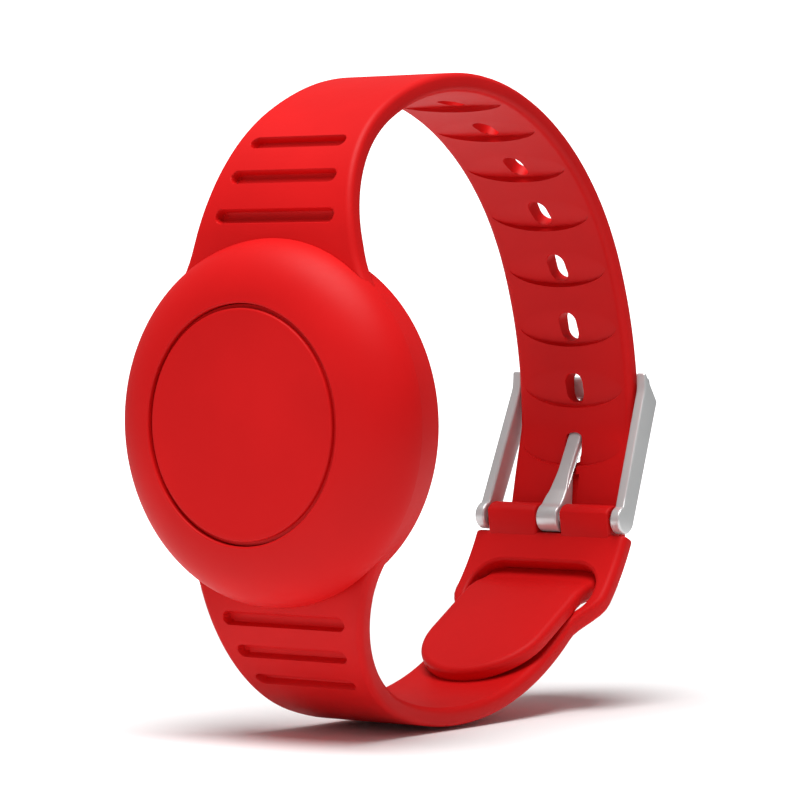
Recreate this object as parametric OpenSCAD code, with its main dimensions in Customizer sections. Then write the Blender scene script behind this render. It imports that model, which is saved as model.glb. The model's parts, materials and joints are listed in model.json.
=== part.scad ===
// Tracker wristband: a round pod on a buckled silicone strap.
// +Z is up, -Y is the side the pod faces, X runs along the wrist.
// The origin is the middle of the wrist opening, on the pod's axis.

/* [Pod] */
// Radius of the pod at the joint line between dome and cradle
pod_r = 19.5; // [19:0.1:23]
// Height of the dome in front of the joint line
dome_h = 5.8; // [5.6:0.1:7]
// Thickness of the dome cover
dome_wall = 1.3; // [1:0.1:1.5]
// Depth of the cradle behind the joint line
cradle_h = 4.4; // [4.4:0.1:6]
// Thickness of the cradle's floor
floor_t = 1.3; // [1:0.1:2]
// How much narrower the cradle is at the back
cradle_draft = 0.9; // [0:0.1:1.2]
// Distance from the middle of the wrist opening to the joint line
pod_reach = 27; // [26:0.5:30]

/* [Press pad] */
// Radius of the flat press pad
pad_r = 12.2; // [10.5:0.1:13]
// Width of the ring groove round the pad
pad_gap = 0.5; // [0.3:0.1:0.8]
// How far the flange under the pad reaches past the groove
pad_lip = 0.8; // [0.5:0.1:1]
// Thickness of that flange
pad_flange_t = 0.4; // [0.3:0.1:0.6]
// Travel of the pad
press_travel = 0.3; // [0.2:0.05:0.35]

/* [Strap] */
// Thickness of the strap
strap_t = 2.1; // [1.8:0.1:2.4]
// Width of both straps where they leave the pod
root_w = 26.2; // [24:0.1:27]
// Extra width of the flare where a strap meets the round cradle
root_flare = 3.2; // [0:0.1:3.4]
// Width of both straps past the taper
strap_w = 15.8; // [14.4:0.1:16]
// Length of strap over which it narrows
taper_len = 31; // [27:0.5:32]
// Width of the short strap at the buckle
buckle_end_w = 21.2; // [20.6:0.1:22]
// Number of pin holes
hole_count = 8; // [5:1:9]
// Distance between pin holes
hole_pitch = 7.5; // [6:0.1:7.6]
// Width of a pin hole
hole_w = 2.4; // [2.2:0.1:3]
// Length of a pin hole
hole_len = 3.6; // [3.4:0.1:4.5]
// Width of the dish round a pin hole
dish_w = 13.6; // [10:0.1:14]
// Length of the dish along the strap
dish_len = 4.8; // [4.2:0.1:5.6]
// Depth of the dish
dish_depth = 0.6; // [0.3:0.1:0.9]
// Length of the slot that the tail goes through
slot_len = 7.8; // [7.4:0.1:8]
// Distance from the end of the short strap to that slot
slot_from_end = 4.1; // [3.8:0.1:4.4]
// Radius of the slot's corners
slot_corner_r = 3.6; // [2:0.1:3.6]
// Thickness of the free tail
tail_t = 1.9; // [1.6:0.1:1.9]
// Length of the free tail inside the loop
tail_len = 15.5; // [13:0.5:18]

/* [Grip grooves] */
// Number of grooves on each strap
groove_count = 3; // [1:1:3]
// Margin between a groove's end and the strap's edge
groove_margin = 2.3; // [1.6:0.1:3]
// Width of a groove
groove_w = 1.5; // [1:0.1:2]
// Depth of a groove
groove_depth = 1; // [0.5:0.1:1.3]
// Pitch of the grooves on the long strap
groove_pitch_long = 4.5; // [3:0.1:5]
// Pitch of the grooves on the short strap
groove_pitch_short = 3.9; // [3:0.1:4.5]

/* [Buckle] */
// Outer width of the buckle frame
frame_w = 20.4; // [20.2:0.1:21.4]
// Width of the frame at its outer bar
frame_end_w = 18.7; // [18.6:0.1:19.5]
// Thickness of a frame arm across the wrist
arm_t = 1.3; // [1:0.05:1.35]
// Depth of a frame arm
arm_d = 2.6; // [2:0.1:2.6]
// Radius of the eye at the foot of a frame arm
eye_r = 1.6; // [1.4:0.05:1.7]
// Distance from the spring bar to the near edge of the outer bar
frame_reach = 14.8; // [14.6:0.1:15.5]
// Length of the outer bar along the arms
outer_bar_len = 2.7; // [2.4:0.1:2.9]
// Lean of the frame away from upright, in degrees
frame_lean = 23; // [22.5:0.5:24]
// Width of the tongue at its loop
tongue_w = 2.8; // [2.4:0.1:3]
// Width of the tongue's shank
shank_w = 1.8; // [1.4:0.1:1.9]
// Length of the tongue from the spring bar to its tip
tongue_len = 18; // [17:0.1:18.2]
// Thickness of the tongue
tongue_t = 0.9; // [0.7:0.1:1]
// Lean of the tongue away from upright, in degrees
tongue_lean = 28.6; // [28.2:0.1:29.5]

/* [Spring bar] */
// Radius of the spring bar's tube
tube_r = 0.9; // [0.8:0.05:1]
// Radius of the bore in the tube
tube_bore_r = 0.68; // [0.6:0.02:0.7]
// Radius of a spring bar tip
tip_r = 0.45; // [0.4:0.05:0.5]
// Travel of a tip
tip_travel = 1.15; // [1:0.05:1.3]
// Wire radius of the coil inside
wire_r = 0.09; // [0.06:0.01:0.12]
// Radius of the sleeve round the spring bar
sleeve_r = 1.65; // [1.5:0.05:1.8]

/* [Tracker] */
// Radius of the tracker's case
tag_r = 15.4; // [15.2:0.1:15.8]
// Wall of the tracker's case
tag_wall = 0.8; // [0.6:0.1:0.9]
// Radius of the coin cell
cell_r = 10; // [9.5:0.1:10]
// Thickness of the coin cell
cell_t = 3.2; // [2.5:0.1:3.2]
// Radius of the battery door
door_r = 11.3; // [11.3:0.1:11.4]
// Thickness of the battery door
door_t = 0.8; // [0.6:0.1:1]
// Turn that unlocks the battery door, in degrees
door_turn = 30; // [20:5:40]
// Thickness of the circuit board
board_t = 0.6; // [0.4:0.1:0.6]

/* [Fits] */
// Clearance round turning and sliding pins
pin_fit = 0.05; // [0.02:0.01:0.08]
// Clearance round parts that are seated together
seat_fit = 0.1; // [0.05:0.05:0.2]
// Clearance between the dome and the flange under the press pad
pad_clear = 0.15; // [0.15:0.05:0.25]

/* [Hidden] */
$fn = 96;
silicone = "crimson";
steel = "lightsteelblue";
eps = 0.01;
far = 60;

// Strap lines, seen along X: a start [y, z, heading] and arcs of [length, turn]
arc_step = 6;
flare_len = 6;
long_start = [-pod_reach - 1.05, 12, 85.3];
long_arcs = [[7.2, 0], [17.4, -54.7], [28.2, -53.9], [25.2, -43.3], [19.7, -23.4],
    [2.3, -14.6], [8.9, 3.4], [2.7, -2], [6.5, -43.6], [4, -26], [1.9, 24]];
short_start = [-pod_reach + 0.62, -12, -90];
short_arcs = [[5, 0], [19.4, 71.7], [38.6, 66], [9.15, 17.2]];

// Pod stack, measured from the joint line, positive towards the wrist
pad_face = -dome_h;
pad_under = pad_face + dome_wall + pad_clear;
flange_under = pad_under + pad_flange_t;
tag_front = flange_under + press_travel + seat_fit;
tag_back = cradle_h - floor_t - pin_fit;
shell_t = tag_wall;
shell_under = tag_front + shell_t;
button_flange_t = 0.2;
button_under = shell_under + pin_fit + button_flange_t;
switch_top = button_under + press_travel + pin_fit;
switch_h = 0.55;
board_top = switch_top + switch_h;
board_under = board_top + board_t;
door_gap = 0.1;
door_inner = tag_back - pin_fit;
cell_back = door_inner - door_gap;
cell_front = cell_back - cell_t;
door_back = door_inner + door_t;

// Pod radii
shoulder_r = pad_r + pad_gap;
opening_r = door_r + 1.5;
boss_r = opening_r - 0.2;
lip_outer_r = pod_r - 1.3;
lip_inner_r = lip_outer_r - 1;
lip_depth = 1.6;

// Buckle and spring bar
bar_y = 50.6 - pod_reach;
bar_z = -12.4;
sleeve_half = frame_w / 2 - arm_t - 0.4;
tube_half = sleeve_half - 0.8;
tube_end_wall = 0.3;
piston_len = 1.6;
arm_mid = 0.33;
outer_bar_low = [0.88, 0.8];
outer_bar_high_y = 0.18;
tip_end = frame_w / 2 - 0.25;
notch_w = tongue_w + 0.6;
loop_r = tube_r + 0.75;
tongue_mid = -0.3;
tongue_low = 2.3;
tongue_low_y = 0.95;
tongue_high = 5.6;
swing = 3;

// Case screws
screw_ring_r = tag_r - 1.5;
screw_r = 0.5;
screw_head_r = 0.9;
screw_head_t = 0.55;
post_r = 1.1;
post_top = tag_back - 1.05 - pin_fit;

// Battery door
lug_r = door_r + 0.7;

// ---------- helpers ----------

// A point and heading moved on by one arc of [length, turn]
function advance(p, arc) =
    let (half = arc[1] / 2)
    let (chord = half == 0 ? arc[0] : arc[0] * sin(half) / (half * PI / 180))
    [p[0] + chord * cos(p[2] + half), p[1] + chord * sin(p[2] + half), p[2] + arc[1]];

// The point and heading at a distance along a strap line
function along(p, arcs, s, i = 0) =
    i >= len(arcs) ? advance(p, [s, 0])
    : s <= arcs[i][0] ? advance(p, [s, arcs[i][1] * s / arcs[i][0]])
    : along(advance(p, arcs[i]), arcs, s - arcs[i][0], i + 1);

// The line cut into steps of at most arc_step degrees
function steps(arcs) = [for (a = arcs)
    let (n = max(1, ceil(abs(a[1]) / arc_step)))
    for (k = [1:n]) [a[0] / n, a[1] / n]];

function line(start, arcs) =
    let (list = steps(arcs))
    [for (i = 0, p = start; i <= len(list);
        p = i < len(list) ? advance(p, list[i]) : p, i = i + 1) p];

// A point of the line pushed sideways, to the right of its heading
function beside(p, d) = [p[0] + d * sin(p[2]), p[1] - d * cos(p[2])];

function reversed(v) = [for (i = [len(v) - 1:-1:0]) v[i]];

function total(v, i = 0) = i >= len(v) ? 0 : v[i][0] + total(v, i + 1);

// The outline of a strap whose outer face follows the line
function strap_outline(start, arcs, inward) =
    let (pts = line(start, arcs))
    concat([for (p = pts) beside(p, 0)],
        reversed([for (p = pts) beside(p, inward)]));

// An outline in Y and Z drawn out along X
module across(w) {
    rotate([90, 0, 90]) linear_extrude(w, center = true) children();
}

// Local axes on a strap line: Z along it, Y to the right of its heading
module on_line(p) {
    translate([0, p[0], p[1]]) rotate([p[2] - 90, 0, 0]) children();
}

// Local axes on the pod: Z towards the wrist, zero at the joint line
module on_pod() {
    translate([0, -pod_reach, 0]) rotate([-90, 0, 0]) children();
}

// Local axes on the spring bar: Z along a part that leans outwards
module on_bar(lean) {
    translate([0, bar_y, bar_z]) rotate([-lean, 0, 0]) children();
}

module disc(r, z0, z1) {
    translate([0, 0, z0]) cylinder(r = r, h = z1 - z0);
}

module ring(r_in, r_out, z0, z1) {
    difference() {
        disc(r_out, z0, z1);
        disc(r_in, z0 - 1, z1 + 1);
    }
}

module rod_x(r, x0, x1) {
    translate([x0, 0, 0]) rotate([0, 90, 0]) cylinder(r = r, h = x1 - x0);
}

// A slot w wide in X and l long in Z with round ends, cut along Y
module slot_x(w, l, depth) {
    cut_w = max(w, l) - min(w, l);
    r = min(w, l) / 2;
    side = w > l ? [1, 0, 0] : [0, 0, 1];
    size = w > l ? [cut_w, depth, l] : [w, depth, cut_w];
    cube(size, center = true);
    for (s = [-1, 1])
        translate(side * s * cut_w / 2) rotate([90, 0, 0])
            cylinder(r = r, h = depth, center = true);
}

// A rectangle with round corners, w in X and l in Z, cut along Y
module window(w, l, r, depth) {
    cube([w - 2 * r, depth, l], center = true);
    cube([w, depth, l - 2 * r], center = true);
    for (x = [-1, 1], z = [-1, 1])
        translate([x * (w / 2 - r), 0, z * (l / 2 - r)]) rotate([90, 0, 0])
            cylinder(r = r, h = depth, center = true);
}

// ---------- band ----------

module cradle_body() {
    on_pod() cylinder(r1 = pod_r - 0.15, r2 = pod_r - cradle_draft, h = cradle_h);
}

// Half the strap's width at a distance from its root
function half_width(s) =
    let (t = max(0, 1 - s / taper_len), u = max(0, 1 - s / flare_len))
    strap_w / 2 + (root_w - strap_w) / 2 * t * t + root_flare / 2 * u * u;

// What a strap's sides enclose, seen from the front, down to the pod
module side_limit(start, arcs) {
    edge = [for (s = [0:1:taper_len]) [half_width(s), along(start, arcs, s)[1]]];
    last = along(start, arcs, taper_len);
    intersection() {
        rotate([90, 0, 0]) linear_extrude(2 * far, center = true)
            polygon(concat(edge, reversed([for (p = edge) [-p[0], p[1]]])));
        translate([-far, last[0] - 2 * far, -far]) cube([2 * far, 2 * far, 2 * far]);
    }
    translate([-strap_w / 2, last[0] - eps, -far]) cube([strap_w, 2 * far, 2 * far]);
}

module long_strap() {
    intersection() {
        across(root_w + 8) polygon(strap_outline(long_start, long_arcs, strap_t));
        side_limit(long_start, long_arcs);
    }
}

// The tail past the slot: a flat tongue of silicone with a round end
module tail() {
    end = along(long_start, long_arcs, total(long_arcs));
    on_line(end) {
        translate([-strap_w / 2, strap_t - tail_t, -eps])
            cube([strap_w, tail_t, tail_len - strap_w / 2 + eps]);
        translate([0, strap_t - tail_t, tail_len - strap_w / 2]) rotate([-90, 0, 0])
            cylinder(r = strap_w / 2, h = tail_t);
    }
}

// The short strap widens over a smooth shoulder before the slot
module short_strap() {
    wide_y0 = 43.3 - pod_reach;
    wide_y1 = 47 - pod_reach;
    steps = 8;
    shoulder = [for (k = [0:steps]) let (t = k / steps)
        [strap_w / 2 + (buckle_end_w - strap_w) / 2 * t * t * (3 - 2 * t),
            wide_y0 + (wide_y1 - wide_y0) * t]];
    edge = concat(shoulder, [[buckle_end_w / 2, far]]);
    difference() {
        intersection() {
            across(root_w + 8) polygon(strap_outline(short_start, short_arcs, -strap_t));
            union() {
                side_limit(short_start, short_arcs);
                linear_extrude(2 * far, center = true)
                    polygon(concat(edge, reversed([for (p = edge) [-p[0], p[1]]])));
            }
        }
        on_line(along(short_start, short_arcs,
            total(short_arcs) - slot_from_end - slot_len / 2))
            window(strap_w + 1.6, slot_len, slot_corner_r, 12);
    }
}

// The sleeve round the spring bar and the neck that holds it to the strap
module sleeve() {
    end = along(short_start, short_arcs, total(short_arcs) - 0.5);
    side = [sin(end[2]), -cos(end[2])] * sleeve_r;
    on_bar(0) rod_x(sleeve_r, -sleeve_half, sleeve_half);
    across(2 * sleeve_half) polygon([[bar_y, bar_z] + side, beside(end, 0),
        beside(end, -strap_t), [bar_y, bar_z] - side]);
}

// Room for the tongue where it passes through the strap and swings outwards
module tongue_room() {
    gap = seat_fit + 0.05;
    sweep = tan(swing + 0.6);
    top = tongue_len + 1;
    inner = tongue_mid - tongue_t / 2 - gap;
    outer = tongue_mid + tongue_t / 2 + gap;
    low_out = tongue_low_y + gap + tongue_low * sweep;
    high_out = outer + (tongue_high + gap) * sweep;
    on_bar(tongue_lean) {
        across(shank_w + 2 * gap) polygon([[inner, tongue_high], [high_out, tongue_high],
            [outer + top * sweep, top], [inner, top]]);
        across(tongue_w + 2 * gap) polygon([[inner, tube_r], [low_out, tube_r],
            [low_out, tongue_low], [high_out, tongue_high + gap],
            [inner, tongue_high + gap]]);
        rod_x(loop_r + gap, -notch_w / 2, notch_w / 2);
    }
}

// A pin hole, its dish and the slanted relief for the tongue
module pin_hole() {
    dish_r = (dish_w * dish_w / 4 + dish_len * dish_len / 4) / dish_len;
    relief_w = shank_w + 0.1;
    relief_slope = 20;
    slot_x(hole_w, hole_len, 4 * strap_t);
    translate([0, strap_t + 1 - dish_depth, 0]) rotate([90, 0, 0])
        intersection_for(s = [-1, 1])
            translate([0, s * (dish_r - dish_len / 2), 0])
                cylinder(r = dish_r, h = 2, center = true);
    translate([0, strap_t / 2, 0]) rotate([-relief_slope, 0, 0])
        translate([-relief_w / 2, 0, 0]) cube([relief_w, 2, 4]);
}

module grip_grooves(start, arcs, first, pitch) {
    for (k = [0:groove_count - 1])
        on_line(along(start, arcs, first + k * pitch))
            slot_x(2 * (half_width(first + k * pitch) - groove_margin), groove_w,
                2 * groove_depth);
}

module band() {
    long_groove_s = 9.9;
    short_groove_s = 9;
    last_hole_s = 101.1;
    color(silicone) difference() {
        union() {
            difference() {
                union() {
                    cradle_body();
                    long_strap();
                    short_strap();
                }
                on_pod() {
                    disc(pod_r, -far, 0);
                    disc(tag_r + seat_fit, -1, cradle_h - floor_t);
                    disc(opening_r, 0, far / 2);
                    ring(lip_inner_r - seat_fit, lip_outer_r + seat_fit, -1, lip_depth);
                }
                grip_grooves(long_start, long_arcs, long_groove_s, groove_pitch_long);
                grip_grooves(short_start, short_arcs, short_groove_s,
                    groove_pitch_short);
                for (k = [0:hole_count - 1])
                    on_line(along(long_start, long_arcs, last_hole_s - k * hole_pitch))
                        pin_hole();
            }
            tail();
            sleeve();
        }
        on_bar(0) rod_x(tube_r + pin_fit, -far, far);
        tongue_room();
    }
}

// ---------- pod ----------

// Half section of the dome: a flat, an elliptic shoulder and a short lip
module dome_section(inset) {
    rise = dome_h - inset;
    spread = pod_r - shoulder_r + 0.6 - inset;
    centre = shoulder_r - 0.6;
    polygon(concat([[0, 0], [0, -rise]],
        [for (a = [0:5:90]) [centre + spread * sin(a), -rise * cos(a)]]));
}

module dome_cover() {
    color(silicone) on_pod() {
        difference() {
            rotate_extrude() dome_section(0);
            rotate_extrude() dome_section(dome_wall);
            disc(shoulder_r, -far, -1);
        }
        ring(lip_inner_r, lip_outer_r, -0.6, lip_depth - seat_fit);
    }
}

module press_pad() {
    color(silicone) on_pod() {
        disc(pad_r, pad_face, pad_under + eps);
        disc(shoulder_r + pad_lip, pad_under, flange_under);
    }
}

// ---------- tracker ----------

module tag_button() {
    color("white") on_pod() {
        disc(2.9, flange_under, shell_under + pin_fit + eps);
        disc(3.6, shell_under + pin_fit, button_under);
    }
}

module switch_plunger() {
    color("dimgray") on_pod() disc(0.75, button_under, switch_top + 0.1);
}

module screw_places() {
    for (a = [45:90:315]) rotate([0, 0, a]) translate([screw_ring_r, 0, 0]) children();
}

module tag_front_shell() {
    color("whitesmoke") on_pod() difference() {
        union() {
            difference() {
                disc(tag_r, tag_front, post_top);
                disc(tag_r - tag_wall, shell_under, far / 2);
            }
            screw_places() disc(post_r, shell_under - eps, post_top);
        }
        disc(3.1, tag_front - 1, shell_under + 1);
        screw_places() disc(screw_r + 0.02, board_top, far / 2);
    }
}

module tag_back_shell() {
    plate_front = tag_back - 1.05;
    ledge = door_inner - 0.7;
    color("gainsboro") on_pod() difference() {
        union() {
            disc(tag_r, plate_front, tag_back);
            disc(boss_r, plate_front, door_back + 0.05);
            disc(cell_r + 1, board_under + 0.6, plate_front + eps);
        }
        disc(cell_r + 0.4, -far, far);
        disc(door_r + seat_fit, ledge, far);
        for (a = [0, 120, 240]) {
            rotate([0, 0, a - 12]) bayonet_room(24 + door_turn, door_inner - 0.05,
                door_inner + 0.45);
            rotate([0, 0, a - 12 + door_turn]) bayonet_room(24, door_inner, far);
        }
        translate([0, cell_r, 0]) cube([3.4, 3, 2 * plate_front], center = true);
        screw_places() {
            disc(screw_r + 0.1, -far, far);
            disc(screw_head_r + 0.1, tag_back - screw_head_t - 0.05, far);
        }
    }
}

// A sector of ring outside the door, for the lugs to enter and turn in
module bayonet_room(angle, z0, z1) {
    translate([0, 0, z0]) rotate_extrude(angle = angle)
        translate([door_r - 1, 0]) square([lug_r + seat_fit - door_r + 1, z1 - z0]);
}

module battery_door() {
    color("silver") on_pod() difference() {
        union() {
            disc(door_r, door_inner, door_back);
            for (a = [0, 120, 240])
                rotate([0, 0, a - 10]) translate([0, 0, door_inner + 0.05])
                    rotate_extrude(angle = 20) translate([door_r - 0.5, 0])
                        square([lug_r - door_r + 0.5, 0.35]);
        }
        translate([0, 0, door_back]) cube([12, 1.4, 0.6], center = true);
    }
}

module door_seal() {
    seal_r = 0.32;
    color("black") on_pod() translate([0, 0, door_inner - 0.7 + 0.35])
        rotate_extrude() translate([door_r - 0.45, 0]) circle(seal_r, $fn = 24);
}

module circuit_board() {
    color("darkgreen") on_pod() difference() {
        disc(tag_r - tag_wall - 0.4, board_top, board_under);
        screw_places() disc(post_r + 0.15, -far, far);
    }
}

module tact_switch() {
    color("silver") on_pod() difference() {
        translate([-2.6, -2.6, switch_top]) cube([5.2, 5.2, switch_h]);
        disc(0.8, -far, board_top - 0.05);
    }
}

// A small part standing on the front of the circuit board
module on_board(x, y, turn) {
    translate([x, y, board_top]) rotate([180, 0, turn]) children();
}

module block(l, w, h) {
    translate([-l / 2, -w / 2, 0]) cube([l, w, h]);
}

module radio_chip() {
    color("black") on_pod() on_board(7.6, 4.6, 0) block(5, 5, 0.5);
}

module crystal() {
    color("silver") on_pod() on_board(8.8, -0.6, 0) block(3.2, 2.5, 0.5);
}

module chip_antenna() {
    color("ivory") on_pod() on_board(-10.4, 2.4, 90) block(7, 2, 0.5);
}

module chip_capacitors() {
    color("tan") on_pod()
        for (k = [0:3]) on_board(-5.4 + 1.6 * k, 6.6, 0) block(0.8, 1.4, 0.45);
}

module buzzer() {
    color("gold") on_pod() translate([0, -8.9, 0])
        disc(4.4, shell_under, shell_under + 0.4);
}

module coin_cell() {
    color("lightgray") on_pod() {
        disc(cell_r - 1.2, cell_front, cell_front + 0.3 + eps);
        disc(cell_r, cell_front + 0.3, cell_back);
    }
}

module positive_contact() {
    color("gold") on_pod() {
        translate([-1.5, cell_r + 0.05, board_under])
            cube([3, 0.2, cell_back - board_under - 0.2]);
        translate([-1.5, cell_r + 0.05, board_under]) cube([3, 2, 0.2]);
    }
}

module negative_contact() {
    gap = cell_front - board_under;
    arm_rise = gap - 0.3;
    color("gold") on_pod() translate([0, 0, board_under]) {
        disc(2.4, 0, 0.15);
        for (a = [0, 120, 240]) rotate([0, 0, a])
            translate([1.5, 0, 0]) rotate([0, -atan(arm_rise / 5), 0])
                translate([0, -0.7, 0]) cube([5, 1.4, 0.15]);
    }
}

module case_screws() {
    color("silver") on_pod() screw_places() difference() {
        union() {
            disc(screw_r, board_top + 0.3, tag_back - screw_head_t + eps);
            disc(screw_head_r, tag_back - screw_head_t, tag_back - 0.05);
        }
        translate([0, 0, tag_back]) cube([1.2, 0.25, 0.5], center = true);
    }
}

// ---------- buckle ----------

// The frame's side view: an eye, two straight edges and a bevelled end
module frame_side() {
    top = frame_reach + outer_bar_len;
    back = arm_mid + arm_d / 2;
    front = arm_mid - arm_d / 2;
    hook = 1;
    across(frame_w + 2) {
        circle(eye_r);
        polygon([[front, 0], [back, 0], [back, frame_reach + 0.4],
            [front - hook, top - 0.1], [front - hook / 4, frame_reach + 0.8]]);
    }
}

// The frame's outline from the front, narrower at the outer bar
module frame_front(inset) {
    top = frame_reach + outer_bar_len + 1;
    rotate([90, 0, 0]) linear_extrude(10, center = true)
        polygon([[frame_w / 2 - inset, -3], [frame_w / 2 - inset, 0],
            [frame_end_w / 2 - inset, top], [-frame_end_w / 2 + inset, top],
            [-frame_w / 2 + inset, 0], [-frame_w / 2 + inset, -3]]);
}

// The outer bar's section, bent round the outside of the strap
module outer_bar() {
    r = 0.55;
    low = [outer_bar_low[0], frame_reach + outer_bar_low[1]];
    high = [outer_bar_high_y, frame_reach + outer_bar_len - r];
    intersection() {
        across(frame_w) {
            translate(low) circle(r);
            translate(high) circle(r);
            polygon([low + [r, 0], high + [r, 0], high - [r, 0], low - [r, 0]]);
        }
        frame_front(arm_t - 0.2);
    }
}

module buckle_frame() {
    color(steel) on_bar(frame_lean) difference() {
        union() {
            intersection() {
                frame_side();
                difference() {
                    frame_front(0);
                    frame_front(arm_t);
                }
            }
            outer_bar();
        }
        rod_x(tip_r + pin_fit, -far, far);
        rotate([frame_lean - tongue_lean, 0, 0])
            across(shank_w + 0.4) translate([tongue_mid - tongue_t / 2 - seat_fit / 2, 10])
                square([4, 12]);
    }
}

// The tongue's side view: a loop whose end lies against the back of the shank
module tongue_side() {
    half = tongue_t / 2;
    front = tongue_mid - half;
    back = tongue_mid + half;
    across(tongue_w) {
        circle(loop_r);
        polygon([[-loop_r * 0.73, loop_r * 0.68], [front, 3.2], [front, tongue_len - 0.3],
            [back, tongue_len], [back, tongue_high], [tongue_low_y, tongue_low],
            [loop_r * 0.8, loop_r * 0.6]]);
    }
}

module buckle_tongue() {
    color(steel) on_bar(tongue_lean) difference() {
        intersection() {
            tongue_side();
            rotate([90, 0, 0]) linear_extrude(6, center = true)
                polygon([[-tongue_w / 2, -3], [tongue_w / 2, -3], [tongue_w / 2, 2],
                    [shank_w / 2, 5.5], [shank_w / 2, tongue_len - 0.8],
                    [shank_w / 2 - 0.5, tongue_len], [0.5 - shank_w / 2, tongue_len],
                    [-shank_w / 2, tongue_len - 0.8], [-shank_w / 2, 5.5],
                    [-tongue_w / 2, 2]]);
        }
        rod_x(tube_r + pin_fit, -far, far);
    }
}

module spring_bar_tube() {
    color(steel) on_bar(0) difference() {
        rod_x(tube_r, -tube_half, tube_half);
        rod_x(tube_bore_r, -tube_half + tube_end_wall, tube_half - tube_end_wall);
        rod_x(tip_r + pin_fit, -far, far);
    }
}

module spring_bar_tip() {
    piston_out = tube_half - tube_end_wall - 0.05;
    rod_x(tube_bore_r - pin_fit, piston_out - piston_len, piston_out);
    rod_x(tip_r, piston_out - eps, tip_end);
}

module spring_bar_tip_right() {
    color(steel) on_bar(0) spring_bar_tip();
}

module spring_bar_tip_left() {
    color(steel) on_bar(0) mirror([1, 0, 0]) spring_bar_tip();
}

// Points of a round wire wound about X, one ring of wire after another
module spring_bar_coil() {
    half = tube_half - tube_end_wall - 0.1 - piston_len;
    turns = 9;
    sides = 6;
    per_turn = 12;
    coil_r = tube_bore_r - 0.04 - wire_r;
    rings = turns * per_turn;
    length = 2 * (half - wire_r);
    points = [for (i = [0:rings]) let (a = 360 * i / per_turn)
        for (k = [0:sides - 1]) let (b = 360 * k / sides)
            [length * (i / rings - 0.5) + wire_r * sin(b),
                (coil_r + wire_r * cos(b)) * cos(a), (coil_r + wire_r * cos(b)) * sin(a)]];
    walls = [for (i = [0:rings - 1], k = [0:sides - 1])
        let (a = i * sides + k, b = i * sides + (k + 1) % sides)
        each [[a, b, b + sides], [a, b + sides, a + sides]]];
    caps = [[for (k = [sides - 1:-1:0]) k], [for (k = [0:sides - 1]) rings * sides + k]];
    color(steel) on_bar(0) polyhedron(points, concat(walls, caps));
}

band();
dome_cover();
press_pad();
tag_button();
switch_plunger();
tag_front_shell();
tag_back_shell();
circuit_board();
tact_switch();
radio_chip();
crystal();
chip_antenna();
chip_capacitors();
buzzer();
coin_cell();
positive_contact();
negative_contact();
battery_door();
door_seal();
case_screws();
buckle_frame();
buckle_tongue();
spring_bar_tube();
spring_bar_coil();
spring_bar_tip_left();
spring_bar_tip_right();
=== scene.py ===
import json
import math

import bmesh
import bpy
import numpy as np
from mathutils import Matrix, Vector


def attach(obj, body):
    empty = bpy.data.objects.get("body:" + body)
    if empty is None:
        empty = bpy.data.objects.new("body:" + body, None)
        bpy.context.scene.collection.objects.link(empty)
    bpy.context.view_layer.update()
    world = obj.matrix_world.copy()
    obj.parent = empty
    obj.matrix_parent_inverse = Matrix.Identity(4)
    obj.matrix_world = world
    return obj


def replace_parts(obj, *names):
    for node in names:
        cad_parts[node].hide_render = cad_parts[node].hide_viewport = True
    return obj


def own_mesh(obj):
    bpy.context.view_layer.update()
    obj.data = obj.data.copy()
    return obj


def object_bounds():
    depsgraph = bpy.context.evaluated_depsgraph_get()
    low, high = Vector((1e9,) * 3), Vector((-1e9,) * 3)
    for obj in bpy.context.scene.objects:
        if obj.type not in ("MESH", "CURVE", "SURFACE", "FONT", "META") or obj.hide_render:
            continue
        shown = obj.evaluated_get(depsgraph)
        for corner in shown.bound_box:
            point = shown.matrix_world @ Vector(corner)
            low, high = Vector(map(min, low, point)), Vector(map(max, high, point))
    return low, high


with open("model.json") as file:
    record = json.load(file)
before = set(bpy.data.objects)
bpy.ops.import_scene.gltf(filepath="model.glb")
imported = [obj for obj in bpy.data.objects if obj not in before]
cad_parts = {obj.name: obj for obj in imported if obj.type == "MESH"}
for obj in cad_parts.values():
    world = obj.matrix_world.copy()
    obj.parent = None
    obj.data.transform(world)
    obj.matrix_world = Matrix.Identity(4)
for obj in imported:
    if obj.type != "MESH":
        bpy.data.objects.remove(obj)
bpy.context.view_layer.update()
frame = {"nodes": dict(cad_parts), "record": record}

# Tracker wristband: a domed silicone pod on a buckled strap. Sizes are in millimetres.
MM = 0.001

# Pod
POD_R = 19.5
POD_REACH = 27.0
DOME_H = 5.8
DOME_WALL = 1.3
CRADLE_H = 4.4
FLOOR_T = 1.3
CRADLE_BACK_R = 18.6
PAD_R = 12.2
PAD_GAP = 0.5
POCKET_R = 15.5
OPENING_R = 12.8
LIP_OUTER_R = 18.2
LIP_INNER_R = 17.2
LIP_GAP = 0.1
LIP_GROOVE = 1.6
LIP_REACH = 1.5
JOINT_GAP = 0.02
PAD_EDGE_R = 0.22
FLANGE_W = 0.8
FLANGE_T = 0.4

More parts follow.
